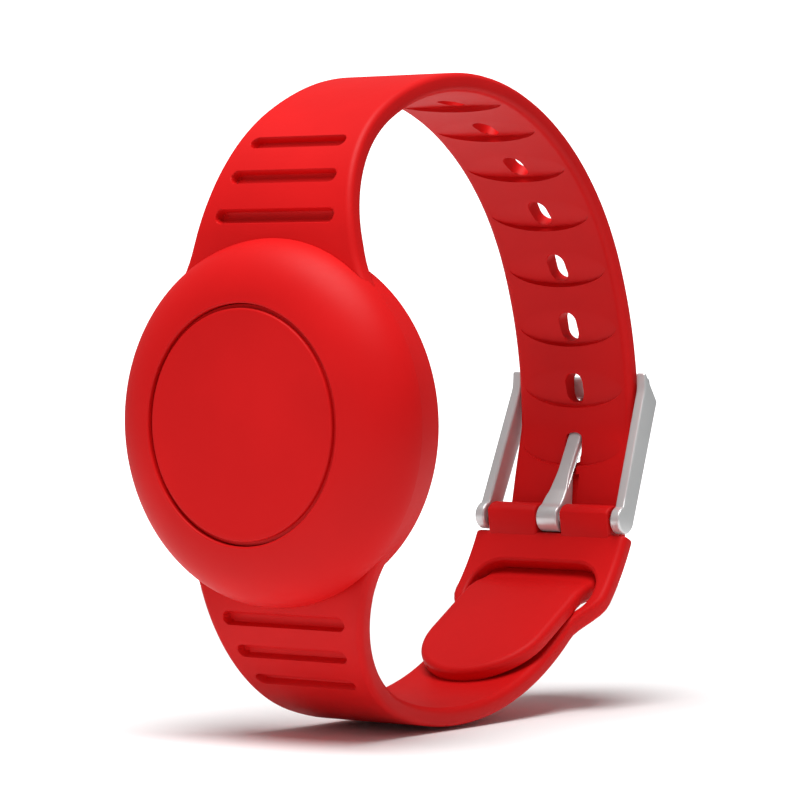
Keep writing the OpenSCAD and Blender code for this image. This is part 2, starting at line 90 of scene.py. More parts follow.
# Strap
STRAP_T = 2.1
STRAP_HALF = 7.9
ROOT_HALF = 13.1
ROOT_FLARE = 1.6
TAPER_LEN = 31.0
FLARE_LEN = 6.0
BUCKLE_HALF = 10.6
SHOULDER_Y = 43.3
SHOULDER_LEN = 3.7
SHOULDER_FROM = 30
EDGE_R = 0.75
LONG_START = (-POD_REACH - 1.05, 12.0, 85.3)
LONG_ARCS = ((7.2, 0), (17.4, -54.7), (28.2, -53.9), (25.2, -43.3), (19.7, -23.4),
    (2.3, -14.6), (8.9, 3.4), (2.7, -2), (6.5, -43.6), (4, -26), (1.9, 24))
SHORT_START = (-POD_REACH + 0.62, -12.0, -90.0)
SHORT_ARCS = ((5, 0), (19.4, 71.7), (38.6, 66), (9.15, 17.2))
TAIL_LEN = 15.5
TAIL_STEP = 0.2
TAIL_STEP_LEN = 1.5
HOLE_COUNT = 8
HOLE_PITCH = 7.5
LAST_HOLE = 101.1
HOLE_W = 2.4
HOLE_LEN = 3.6
DISH_HALF_W = 6.8
DISH_HALF_LEN = 2.4
DISH_DEPTH = 0.7
DISH_WALL_SLOPE = 2.6
TROUGH_DEPTH = 1.2
TROUGH_SLOPE = 0.38
TROUGH_HALF = 1.02
TROUGH_EDGE = 0.16
GROOVE_MARGIN = 2.3
GROOVE_R = 0.75
GROOVE_DEPTH = 1.0
LONG_GROOVES = (9.9, 14.4, 18.9)
SHORT_GROOVES = (9.0, 12.9, 16.8)
SLOT_HALF_W = 8.7
SLOT_LEN = 7.8
SLOT_FROM_END = 4.1
SLOT_CORNER_R = 3.6
CUT_PAST = 1.5

# Buckle
BAR_Y = 50.6 - POD_REACH
BAR_Z = -12.4
SLEEVE_R = 1.65
SLEEVE_HALF = 8.5
NOTCH_HALF = 1.7
FRAME_LEAN = 23.0
FRAME_HALF = 10.2
FRAME_END_HALF = 9.35
FRAME_TOP = 18.5
ARM_T = 1.3
# Corners of an arm's slanted end, as outwards and along
ARM_END = ((1.63, 15.2), (-2.2, 17.85), (-1.25, 15.6))
# Middles of the outer bar's two round edges, as outwards and along
BAR_LOW = (0.88, 15.6)
BAR_HIGH = (0.18, 16.95)
BAR_EDGE_R = 0.55
EYE_R = 1.6
EYE_BORE_R = 0.5
PIN_BORE_R = 0.95
TONGUE_LEAN = 28.6
TONGUE_SWING = 3.6
TONGUE_LOOP_R = 1.65
# Corners of the tongue's side after its loop, as outwards and along
TONGUE_SIDE = ((0.95, 2.3), (0.15, 5.6), (0.15, 18.0), (-0.75, 17.8), (-0.75, 3.2))
ROOM_BACK = -0.9
ROOM_END = 19
SHANK_ROOM_HALF = 1.05
FOOT_ROOM_HALF = 1.55
WIRE_R = 0.09
COIL_R = 0.55
COIL_HALF = 5.6
COIL_TURNS = 6


# ---------- meshes ----------

def new_mesh(name, points, faces, body, material):
    """A closed mesh from points in millimetres, with its doubles merged and its faces turned outwards."""
    mesh = bpy.data.meshes.new(name)
    mesh.from_pydata((np.asarray(points) * MM).tolist(), [], faces)
    bm = bmesh.new()
    bm.from_mesh(mesh)
    bmesh.ops.remove_doubles(bm, verts=bm.verts, dist=0.004 * MM)
    bmesh.ops.dissolve_degenerate(bm, edges=bm.edges, dist=0.001 * MM)
    bmesh.ops.triangulate(bm, faces=[f for f in bm.faces if len(f.verts) > 4])
    bmesh.ops.recalc_face_normals(bm, faces=bm.faces)
    bm.to_mesh(mesh)
    bm.free()
    obj = bpy.data.objects.new(name, mesh)
    bpy.context.scene.collection.objects.link(obj)
    if body is not None:
        mesh.materials.append(material)
        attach(obj, body)
    return obj


def smooth(obj, angle=35):
    """Smooth shading with sharp edges where two faces meet at more than the angle."""
    obj.data.polygons.foreach_set("use_smooth", [True] * len(obj.data.polygons))
    obj.data.set_sharp_from_angle(angle=math.radians(angle))
    return obj


def tube_faces(rows, cols):
    """Quads over a grid of rows that closes round its columns, as a list of corner numbers."""
    i, j = np.meshgrid(np.arange(rows - 1), np.arange(cols), indexing="ij")
    a, b = i * cols + j, i * cols + (j + 1) % cols
    return np.stack([a, b, b + cols, a + cols], -1).reshape(-1, 4).tolist()


def loft(name, rings, body=None, material=None):
    """Closed rings of equal length joined in order, with a flat cap on the first and the last."""
    rings = np.asarray(rings, float)
    rows, cols = rings.shape[:2]
    faces = tube_faces(rows, cols)
    faces.append(list(range(cols)))
    faces.append(list(range(rows * cols - 1, (rows - 1) * cols - 1, -1)))
    return new_mesh(name, rings.reshape(-1, 3), faces, body, material)


def cut(obj, *cutters):
    """Takes the cutters out of the piece, which keeps its place, and deletes them."""
    for c in cutters:
        m = obj.modifiers.new("cut", "BOOLEAN")
        m.operation = "DIFFERENCE"
        m.solver = "EXACT"
        m.object = c
    bpy.context.view_layer.update()
    done = bpy.data.meshes.new_from_object(
        obj.evaluated_get(bpy.context.evaluated_depsgraph_get()))
    obj.modifiers.clear()
    obj.data = done
    for c in cutters:
        bpy.data.objects.remove(c)
    return obj


def arc(centre, r, a0, a1, n=24):
    """n + 1 points of a circle of radius r from angle a0 to a1, in degrees."""
    a = np.radians(np.linspace(a0, a1, n + 1))
    return np.stack([centre[0] + r * np.cos(a), centre[1] + r * np.sin(a)], -1)


def rounded(corners, radii, n=5):
    """An outline whose corners are circle arcs: each arc touches both edges at r * tan(turn / 2) from
    the corner."""
    p = np.asarray(corners, float)
    out = []
    for k in range(len(p)):
        r = radii[k] if np.ndim(radii) else radii
        to_last = p[k - 1] - p[k]
        to_next = p[(k + 1) % len(p)] - p[k]
        u = to_last / np.linalg.norm(to_last)
        v = to_next / np.linalg.norm(to_next)
        half = math.acos(np.clip(u @ v, -1, 1)) / 2
        if r <= 0 or half > math.pi / 2 - 0.02:
            out.append(p[k][None])
            continue
        middle = p[k] + (u + v) / np.linalg.norm(u + v) * r / math.sin(half)
        a = p[k] + u * r / math.tan(half) - middle
        b = p[k] + v * r / math.tan(half) - middle
        t = np.linspace(0, 1, n + 1)[:, None]
        w = math.pi - 2 * half
        out.append(middle + (a * np.sin((1 - t) * w) + b * np.sin(t * w)) / math.sin(w))
    return np.concatenate(out)


def inset(outline, d):
    """The outline moved inwards by d along the mean of the two edge normals at each point."""
    p = np.asarray(outline, float)
    edge = np.roll(p, -1, 0) - p
    normal = np.stack([-edge[:, 1], edge[:, 0]], -1)
    normal /= np.linalg.norm(normal, axis=1)[:, None] + 1e-12
    mean = normal + np.roll(normal, 1, 0)
    mean /= (mean ** 2).sum(1)[:, None] / 2 + 1e-12
    area = (p[:, 0] * np.roll(p[:, 1], -1) - p[:, 1] * np.roll(p[:, 0], -1)).sum()
    return p + mean * d * np.sign(area)


def dense(outline, gap):
    """The same outline with points added along its edges, no further apart than the gap."""
    p = np.asarray(outline, float)
    after = np.roll(p, -1, 0)
    counts = np.maximum(1, np.ceil(np.linalg.norm(after - p, axis=1) / gap)).astype(int)
    return np.concatenate([np.linspace(a, b, n + 1)[:-1] for a, b, n in zip(p, after, counts)])


def plate_rings(outline, x0, x1, bevel, n=4):
    """Rings of a plate with rounded edges: the outline at x, inset by bevel * (1 - sin a) where x is
    bevel * (1 - cos a) from a side. x0 and x1 are numbers, or functions of the outline's second
    coordinate."""
    rings = []
    a = np.radians(np.linspace(0, 90, n + 1))
    for side, other in ((x0, x1), (x1, x0)):
        turns = a if side is x0 else a[::-1]
        for t in turns:
            ring = inset(outline, bevel * (1 - np.sin(t)))
            edge = side(ring[:, 1]) if callable(side) else np.full(len(ring), side)
            far = other(ring[:, 1]) if callable(other) else np.full(len(ring), other)
            x = edge + np.sign(far - edge) * bevel * (1 - np.cos(t))
            rings.append(np.column_stack([x, ring]))
    return np.array(rings)


def lean(points, degrees):
    """Points from the spring bar's own axes, Z along a part that leans outwards, to the frame's axes."""
    a = math.radians(degrees)
    x, y, z = np.moveaxis(np.asarray(points, float), -1, 0)
    return np.stack([x, BAR_Y + y * math.cos(a) + z * math.sin(a),
        BAR_Z - y * math.sin(a) + z * math.cos(a)], -1)


def lathe(name, profile, body, material, steps=160):
    """A closed profile of radius and depth turned about the pod's axis: (r cos a, depth, r sin a)."""
    p = np.asarray(profile, float)
    a = np.linspace(0, 2 * np.pi, steps, endpoint=False)[:, None]
    rings = np.stack([p[:, 0] * np.cos(a), np.broadcast_to(p[:, 1] - POD_REACH, (steps, len(p))),
        p[:, 0] * np.sin(a)], -1)
    cols = len(p)
    i, j = np.meshgrid(np.arange(steps), np.arange(cols), indexing="ij")
    k, m = (i + 1) % steps, (j + 1) % cols
    faces = np.stack([i * cols + j, i * cols + m, k * cols + m, k * cols + j], -1)
    faces = faces.reshape(-1, 4).tolist()
    return smooth(new_mesh(name, rings.reshape(-1, 3), faces, body, material))


# ---------- shader maths ----------

class Value:
    """A number that varies over a surface. Arithmetic on it adds Math nodes."""

    def __init__(self, finish, socket):
        self.finish = finish
        self.socket = socket

    def math(self, operation, *others):
        return self.finish.node("ShaderNodeMath", {"operation": operation}, [self, *others])

    def __add__(self, other):
        return self.math("ADD", other)

    def __mul__(self, other):
        return self.math("MULTIPLY", other)

    def __sub__(self, other):
        return self.math("SUBTRACT", other)

    def __rsub__(self, other):
        return self.finish.node("ShaderNodeMath", {"operation": "SUBTRACT"}, [other, self])

    def __pow__(self, other):
        return self.math("POWER", other)

    __radd__ = __add__
    __rmul__ = __mul__

    def ramp(self, low, high):
        """0 below low, 1 above high, and a smooth step between."""
        return self.finish.node("ShaderNodeMapRange",
            {"interpolation_type": "SMOOTHSTEP"}, [self, low, high, 0, 1])


class Finish:
    """A material with one Principled shader, whose varying inputs are set by expressions."""

    def __init__(self, name, **constants):
        self.material = bpy.data.materials.new(name)
        self.material.use_nodes = True
        self.tree = self.material.node_tree
        self.shader = self.tree.nodes["Principled BSDF"]
        for key, value in constants.items():
            self.shader.inputs[key.replace("_", " ")].default_value = value
        self.place = self.node("ShaderNodeTexCoord", {}, [], "Object")

    def node(self, kind, settings, inputs, output=0):
        n = self.tree.nodes.new(kind)
        for key, value in settings.items():
            setattr(n, key, value)
        pairs = inputs.items() if isinstance(inputs, dict) else enumerate(inputs)
        for key, value in pairs:
            self.set(n.inputs[key], value)
        return Value(self, n.outputs[output])

    def set(self, socket, value):
        if isinstance(value, Value):
            self.tree.links.new(value.socket, socket)
        else:
            socket.default_value = value

    def noise(self, scale, detail=2.0, rough=0.5, place=None):
        return self.node("ShaderNodeTexNoise", {},
            {"Vector": place or self.place, "Scale": scale, "Detail": detail, "Roughness": rough},
            "Fac")

    def stretch(self, scale):
        return self.node("ShaderNodeMapping", {}, {"Vector": self.place, "Scale": scale}, "Vector")

    def axis(self, letter):
        return self.node("ShaderNodeSeparateXYZ", {}, [self.place], letter)

    def mix(self, factor, a, b):
        """Colour a where the factor is 0 and colour b where it is 1."""
        n = self.tree.nodes.new("ShaderNodeMix")
        n.data_type = "RGBA"
        self.set(n.inputs[0], factor)
        self.set(n.inputs[6], a)
        self.set(n.inputs[7], b)
        return Value(self, n.outputs[2])

    def bump(self, height, distance, strength=1.0):
        """Relief of the given distance in millimetres."""
        normal = self.node("ShaderNodeBump", {},
            {"Strength": strength, "Distance": distance * MM, "Height": height}, "Normal")
        self.tree.links.new(normal.socket, self.shader.inputs["Normal"])

    def use(self, **inputs):
        for key, value in inputs.items():
            self.set(self.shader.inputs[key.replace("_", " ")], value)
        return self.material


def rgb(r, g, b):
    return (r, g, b, 1.0)


def silicone():
    """Satin moulded silicone: a fine matt grain, faint cloudiness and a soft sheen."""
    f = Finish("silicone_red", IOR=1.42, Specular_IOR_Level=0.16)
    cloud = f.noise(55, 3)
    grain = f.noise(5200, 2)
    specks = f.noise(1400, 1)
    colour = f.mix(cloud.ramp(0.35, 0.7), rgb(0.60, 0.006, 0.0065), rgb(0.66, 0.0072, 0.0078))
    f.bump(grain + specks * 0.4, 0.006, 0.35)
    return f.use(Base_Color=colour, Roughness=0.43 + 0.07 * cloud + 0.05 * specks)


def steel():
    """Tumbled stainless steel: light grey, with fine random scratches and soft clouds."""
    f = Finish("steel", Metallic=0.5)
    cloud = f.noise(160, 3)
    scratch = f.noise(900, 4, 0.7, f.stretch((1.0, 6.0, 0.7)))
    colour = f.mix(cloud, rgb(0.66, 0.67, 0.67), rgb(0.76, 0.77, 0.77))
    f.bump(scratch, 0.004, 0.4)
    return f.use(Base_Color=colour, Roughness=0.26 + 0.12 * scratch + 0.05 * cloud)


def moulded(name, colour, dark, rough=0.42):
    """Moulded plastic with a spark-eroded grain."""
    f = Finish(name)
    grain = f.noise(2600, 3)
    cloud = f.noise(90, 2)
    f.bump(grain, 0.01, 0.4)
    return f.use(Base_Color=f.mix(cloud, dark, colour), Roughness=rough - 0.05 + 0.1 * grain)


def plated(name, colour, dark, rough=0.28, spin=False):
    """Sheet metal or plating, with rolling marks along X or turning marks about the pod's axis."""
    f = Finish(name, Metallic=1.0)
    if spin:
        x, z = f.axis("X"), f.axis("Z")
        radius = (x * x + z * z) ** 0.5
        marks = (radius * 24000).math("SINE") * 0.5 + 0.5
    else:
        marks = f.noise(1500, 3, 0.6, f.stretch((0.08, 1.0, 1.0)))
    cloud = f.noise(130, 3)
    f.bump(marks, 0.003, 0.3)
    return f.use(Base_Color=f.mix(cloud, dark, colour), Roughness=rough + 0.1 * marks)


def laminate():
    """Circuit board: green mask over a grid of copper tracks."""
    f = Finish("board_laminate")
    x, z = f.axis("X"), f.axis("Z")
    lines = ((x * 5200).math("SINE")).ramp(0.72, 0.86)
    rows = ((z * 4300 + f.noise(260, 1) * 6).math("SINE")).ramp(0.74, 0.88)
    area = f.noise(230, 1).ramp(0.48, 0.52)
    track = lines * area + rows * (1 - area)
    weave = f.noise(3000, 2)
    f.bump(track + weave * 0.2, 0.03, 0.5)
    colour = f.mix(track, rgb(0.008, 0.075, 0.03), rgb(0.03, 0.2, 0.07))
    return f.use(Base_Color=colour, Roughness=0.34 + 0.12 * weave)


def ceramic(name, colour, dark):
    """Fired ceramic or moulded epoxy with a fine granular surface."""
    f = Finish(name)
    grain = f.noise(4200, 4, 0.65)
    f.bump(grain, 0.008, 0.5)
    return f.use(Base_Color=f.mix(grain.ramp(0.3, 0.7), dark, colour), Roughness=0.5 + 0.15 * grain)


RED = silicone()
STEEL = steel()
FINISHES = {
    "case_plastic": moulded("case_plastic", rgb(0.78, 0.78, 0.76), rgb(0.70, 0.70, 0.69)),
    "door_metal": plated("door_metal", rgb(0.72, 0.73, 0.74), rgb(0.60, 0.61, 0.62), 0.22, True),
    "board": laminate(),
    "chip_black": ceramic("chip_black", rgb(0.02, 0.02, 0.022), rgb(0.012, 0.012, 0.013)),
    "ceramic": ceramic("ceramic", rgb(0.72, 0.66, 0.55), rgb(0.55, 0.48, 0.38)),
    "component_metal": plated("component_metal", rgb(0.66, 0.67, 0.68), rgb(0.52, 0.53, 0.54)),
    "gold_plate": plated("gold_plate", rgb(0.86, 0.62, 0.26), rgb(0.72, 0.48, 0.17), 0.2),
    "cell_steel": plated("cell_steel", rgb(0.70, 0.71, 0.72), rgb(0.58, 0.59, 0.60), 0.2, True),
    "seal_rubber": moulded("seal_rubber", rgb(0.03, 0.03, 0.03), rgb(0.02, 0.02, 0.02), 0.6),
    "silicone": RED,
    "steel": STEEL,
}


# ---------- strap surfaces ----------

def bend(t):
    """Smooth step of t from 0 to 1."""
    t = np.clip(t, 0, 1)
    return t * t * (3 - 2 * t)


class StrapLine:
    """The line of a strap's outer face, seen along X, as arcs of length and turn. side is +1 where the
    wrist is right of its heading."""

    def __init__(self, start, arcs, side, extra=0.0):
        arcs = [*arcs, (extra + 20.0, 0)]
        self.side = side
        self.length = sum(a[0] for a in arcs[:-1])
        starts = [np.array(start, float)]
        for length, turn in arcs:
            starts.append(self.step(starts[-1], length, turn))
        self.starts = np.array(starts[:-1])
        self.arcs = np.array(arcs, float)
        self.edges = np.concatenate([[0], np.cumsum(self.arcs[:, 0])])

    @staticmethod
    def step(p, d, turn):
        """A point and heading moved on by an arc: its chord d * sin(h) / h lies at half the turn."""
        half = np.radians(turn / 2)
        chord = d * np.sinc(half / np.pi)
        a = np.radians(p[..., 2]) + half
        return np.stack([p[..., 0] + chord * np.cos(a), p[..., 1] + chord * np.sin(a),
            p[..., 2] + turn], -1)

    def place(self, x, s, q):
        """The point x across, s along and q deep below the outer face."""
        x, s, q = (v.astype(float) for v in np.broadcast_arrays(x, s, q))
        i = np.clip(np.searchsorted(self.edges, s, side="right") - 1, 0, len(self.arcs) - 1)
        d = s - self.edges[i]
        p = self.step(self.starts[i], d, self.arcs[i, 1] * d / self.arcs[i, 0])
        a = np.radians(p[..., 2])
        q = q * self.side
        return np.stack([x, p[..., 0] + q * np.sin(a), p[..., 1] - q * np.cos(a)], -1)


LONG = StrapLine(LONG_START, LONG_ARCS, 1, TAIL_LEN)
SHORT = StrapLine(SHORT_START, SHORT_ARCS, -1)


def root_half(s):
    """Half the strap's width: a square-law taper and a short flare at the root."""
    t = np.clip(1 - s / TAPER_LEN, 0, None)
    u = np.clip(1 - s / FLARE_LEN, 0, None)
    return STRAP_HALF + (ROOT_HALF - STRAP_HALF) * t * t + ROOT_FLARE * u * u


def short_half(s):
    """The short strap's half width, with the smooth shoulder before the slot."""
    y = SHORT.place(0, s, 0)[..., 1] + POD_REACH
    rise = bend((y - SHOULDER_Y) / SHOULDER_LEN) * (s > SHOULDER_FROM)
    return np.maximum(root_half(s), STRAP_HALF + (BUCKLE_HALF - STRAP_HALF) * rise)


def dish_half(x):
    """Half the dish's length at x: an oval with slightly pointed ends."""
    return DISH_HALF_LEN * np.clip(1 - (x / DISH_HALF_W) ** 2, 0, 1) ** 0.55


def dish_depth(x, ds):
    """The deeper of a scoop, which deepens as the 1.5th power towards the strap's tip, and the sloping
    trough that clears the tongue. Both end at a short steep wall."""
    upper = ds + dish_half(x)
    lower = dish_half(x) - ds
    scoop = DISH_DEPTH * (np.clip(upper, 0, None) / (2 * DISH_HALF_LEN)) ** 1.5
    wall = np.clip(lower, 0, None) * DISH_WALL_SLOPE
    depth = np.minimum(scoop, wall)
    across = bend((TROUGH_HALF - np.abs(x)) / TROUGH_EDGE)
    trough = np.clip(TROUGH_DEPTH - TROUGH_SLOPE * ds, 0, None) * across
    trough = np.minimum(trough, wall) * (ds > -0.5)
    return np.maximum(depth, trough)


def groove_half(x, end):
    """Half the groove's length along the strap at x: straight sides and round ends."""
    over = np.clip(np.abs(x) - (end - GROOVE_R), 0, None)
    return np.sqrt(np.clip(GROOVE_R ** 2 - over ** 2, 0, None))


def groove_depth(x, ds, end):
    """A flat floor with a steep wall, by the distance inside the groove's round-ended outline."""
    over = np.clip(np.abs(x) - (end - GROOVE_R), 0, None)
    inside = GROOVE_R - np.hypot(over, ds)
    return GROOVE_DEPTH * bend(inside / 0.2 + 0.2)


def feature_rows(half, reach, inner, wall):
    """Offsets from a feature's middle that follow its outline: fractions of its half length, then steps
    across its edge, then out to its reach."""
    inside = np.linspace(-1, 1, inner)[:, None] * (half - wall[0])
    steps = [half - wall[0] * k for k in wall[1:]] + [half + 0.06, half + 0.16, half + 0.3]
    out = [half + 0.3 + (reach - half - 0.3) * k for k in (0.35, 0.7)]
    after = np.array(steps + out)
    return np.concatenate([-after[::-1], inside, after])


def strap(name, line, half_width, s0, s1, grooves, holes, step, round_tail=False, end_round=0.0):
    """One strap as a tube of rows along its line. A row is the outer face, a round side, the inner face and
    the other side, as points x across, s along and q deep, with the relief added to q. At a round tail the
    sides turn by a: the row is cos(a) as wide and lies sin(a) of its half width further along."""
    face = np.unique(np.round(np.concatenate([
        np.linspace(-1, 1, 41), np.linspace(0.72, 0.98, 27), -np.linspace(0.72, 0.98, 27),
        np.array([-0.146, -0.134, -0.122, 0.122, 0.134, 0.146])]), 4))
    zones = sorted([(s, "groove") for s in grooves] + [(s, "hole") for s in holes])
    reach = {"groove": (grooves[1] - grooves[0]) / 2, "hole": HOLE_PITCH / 2}
    rows = []
    mark = s0

    def plain(a, b):
        n = max(1, int(round((b - a) / step)))
        for s in np.linspace(a, b, n + 1)[:-1]:
            rows.append(np.full(len(face), s))

    for middle, kind in zones:
        r = reach[kind]
        if middle - r > mark + 0.2:
            plain(mark, middle - r)
        c = half_width(np.array(middle)) - EDGE_R
        x = face * c
        if kind == "groove":
            half = np.maximum(groove_half(x, c + EDGE_R - GROOVE_MARGIN), 0.12)
            offsets = feature_rows(half, r, 5, (0.1, 0.5, 0.0))
        else:
            half = np.maximum(dish_half(x), 0.3)
            offsets = feature_rows(half, r, 17, (0.24, 0.7, 0.4, 0.15, 0.0))
        rows += [middle + o for o in offsets]
        mark = middle + r
    plain(mark, s1)
    rows.append(np.full(len(face), s1))
    turn = [0.0] * len(rows)
    shrink = [0.0] * len(rows)
    if round_tail:
        for a in np.radians(np.linspace(0, 90, 28))[1:]:
            rows.append(np.full(len(face), s1 + (STRAP_HALF - EDGE_R) * math.sin(a)))
            turn.append(a)
            shrink.append(0.0)
    if end_round:
        for a in np.radians(np.linspace(0, 90, 6))[1:]:
            rows.append(np.full(len(face), s1 + end_round * math.sin(a)))
            turn.append(0.0)
            shrink.append(end_round * (1 - math.cos(a)))
    along = np.array(rows)
    flat = (half_width(along) - EDGE_R) * np.cos(np.array(turn))[:, None]
    turn = np.array(turn)[:, None]
    shrink = np.array(shrink)[:, None]
    top = TAIL_STEP * bend((along - line.length + TAIL_STEP_LEN) / TAIL_STEP_LEN) if round_tail else 0 * along
    across = face * flat
    outer = top + shrink
    inner = np.full_like(along, STRAP_T) - shrink
    for middle, kind in zones:
        ds = along - middle
        near = np.abs(ds) < reach[kind] + 0.01
        if kind == "groove":
            end = half_width(np.array(middle)) - GROOVE_MARGIN
            outer = outer + near * groove_depth(across, ds, end)
        else:
            inner = inner - near * dish_depth(across, ds)
    a = np.radians(np.linspace(0, 180, 15))[1:-1]
    reach_out = EDGE_R * np.sin(a)
    side_q = np.where(a < np.pi / 2, EDGE_R * (1 - np.cos(a)), STRAP_T - EDGE_R * (1 + np.cos(a)))
    side_q = side_q[None] * (1 - 2 * shrink / STRAP_T) + shrink
    edge_top = top[:, -1:]
    side_q = side_q + edge_top * (1 - side_q / STRAP_T)
    side_s = along[:, -1:] + np.sin(turn) * reach_out[None]
    side_x = flat[:, -1:] + np.cos(turn) * reach_out[None] - shrink
    across = across - shrink * np.sign(face)[None]
    parts = [line.place(across, along, outer), line.place(side_x, side_s, side_q),
        line.place(across, along, inner)[:, ::-1], line.place(-side_x, side_s, side_q)[:, ::-1]]
    return loft(name, np.concatenate(parts, 1), "band", RED)


def window_cutter(line, outline, s, flare):
    """A cutter through a strap in its own bent axes, whose outline opens out by a quarter round at
    both faces."""
    rings = []
    a = np.radians(np.linspace(0, 90, 6))
    depths = [(-CUT_PAST, flare + 0.02), (-0.02, flare + 0.02)]
    depths += [(flare * (1 - math.cos(t)) + 0.001, flare * (1 - math.sin(t))) for t in a]
    depths += [(STRAP_T - q, o) for q, o in depths[::-1]]
    for q, o in depths:
        ring = inset(outline, -o)
        rings.append(line.place(ring[:, 0], s + ring[:, 1], q))
    return loft("cutter", rings)


def pod_cutter(r, y0, y1, steps=128):
    """A plain round cutter on the pod's axis."""
    a = np.linspace(0, 2 * np.pi, steps, endpoint=False)
    rings = [np.stack([r * np.cos(a), np.full(steps, y - POD_REACH), r * np.sin(a)], -1)
        for y in (y0, y1)]
    return loft("cutter", rings)


def stadium(w, length, n=16):
    """Outline of a round-ended oval, w wide and as long as given."""
    r = w / 2
    c = length / 2 - r
    return np.concatenate([arc((0, c), r, 0, 180, n), arc((0, -c), r, 180, 360, n)])


def bar_cutter(r, half):
    """A round cutter along the spring bar."""
    ring = arc((0, 0), r, 0, 360, 48)[:-1]
    rings = [np.column_stack([np.full(len(ring), x), ring]) for x in (-half, half)]
    return loft("cutter", lean(rings, 0))


def tongue_cutter(half, outline):
    """A flat-sided cutter in the tongue's leaning axes."""
    p = np.asarray(outline, float)
    rings = [np.column_stack([np.full(len(p), x), p]) for x in (-half, half)]
    return loft("cutter", lean(rings, TONGUE_LEAN))


def tongue_room():
    """What the tongue clears in the strap: its shank's slit, and a wider room round its foot."""
    sweep = math.tan(math.radians(TONGUE_SWING))
    end = 0.3 + ROOM_END * sweep
    shank = [(ROOM_BACK, 5.6), (0.66, 5.6), (end, ROOM_END), (ROOM_BACK, ROOM_END)]
    foot = [(ROOM_BACK, 0.9), (1.25, 0.9), (1.25, 2.3), (0.67, 5.75), (ROOM_BACK, 5.75)]
    return [tongue_cutter(SHANK_ROOM_HALF, shank), tongue_cutter(FOOT_ROOM_HALF, foot)]


def pod_room():
    """What the pod's pocket and the dome clear in a strap's root."""
    return [pod_cutter(POCKET_R, -8, CRADLE_H - FLOOR_T), pod_cutter(POD_R - 0.02, -8, 0.02)]


def long_strap():
    """The strap with the pin holes in their dishes, and the tongue's room."""
    holes = [LAST_HOLE - k * HOLE_PITCH for k in range(HOLE_COUNT)]
    tail = LONG.length + TAIL_LEN - STRAP_HALF
    obj = strap("strap_long", LONG, root_half, 0.6, tail, LONG_GROOVES, holes, 0.9, round_tail=True)
    cutters = tongue_room()
    cutters += [window_cutter(LONG, stadium(HOLE_W, HOLE_LEN), s, 0.22) for s in holes]
    return smooth(cut(obj, *cutters, *pod_room()), 40)


def short_strap():
    """The strap that widens to the pass-through slot and ends at the sleeve's neck."""
    end = SHORT.length - 0.35
    obj = strap("strap_short", SHORT, short_half, 0.6, end, SHORT_GROOVES, [], 0.8, end_round=0.35)
    middle = SHORT.length - SLOT_FROM_END - SLOT_LEN / 2
    w = SLOT_HALF_W
    h = SLOT_LEN / 2
    outline = dense(rounded([(w, -h), (w, h), (-w, h), (-w, -h)], SLOT_CORNER_R, 12), 1.0)
    return smooth(cut(obj, window_cutter(SHORT, outline, middle, 0.45), *pod_room()), 40)


def sleeve(name, x0, x1):
    """Half of the sleeve round the spring bar, with the neck that joins it to the strap."""
    root = SHORT.place(0, SHORT.length - 0.6, np.array([0.05, STRAP_T - 0.05]))
    ahead = root[0, 1:] - root[1, 1:]
    angle = math.degrees(math.atan2(ahead[1], ahead[0]))
    turn = arc((0, 0), SLEEVE_R, angle, angle + 180, 24)
    centre = np.array([BAR_Y, BAR_Z])
    outline = np.concatenate([[root[0, 1:] - centre], turn, [root[1, 1:] - centre]])
    rings = plate_rings(outline, x0, x1, 0.3)
    obj = loft(name, lean(rings, 0), "band", RED)
    return smooth(cut(obj, bar_cutter(PIN_BORE_R, 20)), 40)


def cradle():
    """The round cradle: a wall with a soft back edge, a floor with the battery opening, and the groove
    for the dome's lip."""
    back = CRADLE_H
    floor = CRADLE_H - FLOOR_T
    inner = LIP_INNER_R - LIP_GAP
    outer = LIP_OUTER_R + LIP_GAP
    corners = [(POD_R - 0.15, JOINT_GAP), (CRADLE_BACK_R, back), (OPENING_R, back), (OPENING_R, floor),
        (POCKET_R, floor), (POCKET_R, JOINT_GAP), (inner, JOINT_GAP), (inner, LIP_GROOVE),
        (outer, LIP_GROOVE), (outer, JOINT_GAP)]
    radii = [0.2, 0.9, 0.25, 0.1, 0.3, 0.1, 0.1, 0.1, 0.1, 0.1]
    return lathe("pod_cradle", rounded(corners, radii, 7), "band", RED)


def dome():
    """The domed front: an elliptic shoulder from the joint line to the ring groove, hollow behind, with a
    lip that seats in the cradle."""
    centre = PAD_R + PAD_GAP - 0.6
    spread = POD_R - centre
    start = math.degrees(math.asin(0.62 / spread))
    a = np.radians(np.linspace(90, start + 2.2, 44))
    outer = np.stack([centre + spread * np.sin(a), -DOME_H * np.cos(a)], -1)
    edge_r = PAD_R + PAD_GAP
    lip = arc((edge_r + 0.2, -DOME_H + 0.22), 0.2, -80, -180, 6)
    inner_rise = DOME_H - DOME_WALL
    b = np.radians(np.linspace(8, 86, 24))
    hollow = np.stack([centre + (spread - DOME_WALL) * np.sin(b), -inner_rise * np.cos(b)], -1)
    foot = [(LIP_INNER_R, -0.5), (LIP_INNER_R, LIP_REACH), (LIP_OUTER_R, LIP_REACH),
        (LIP_OUTER_R, -JOINT_GAP), (POD_R - 0.12, -JOINT_GAP)]
    hollow = hollow[hollow[:, 0] < LIP_INNER_R - 0.05]
    hollow = hollow[hollow[:, 0] > edge_r + 0.05]
    profile = np.concatenate([outer, lip, [(edge_r, -inner_rise)], hollow, foot])
    return lathe("dome_shell", profile, "band", RED, 224)


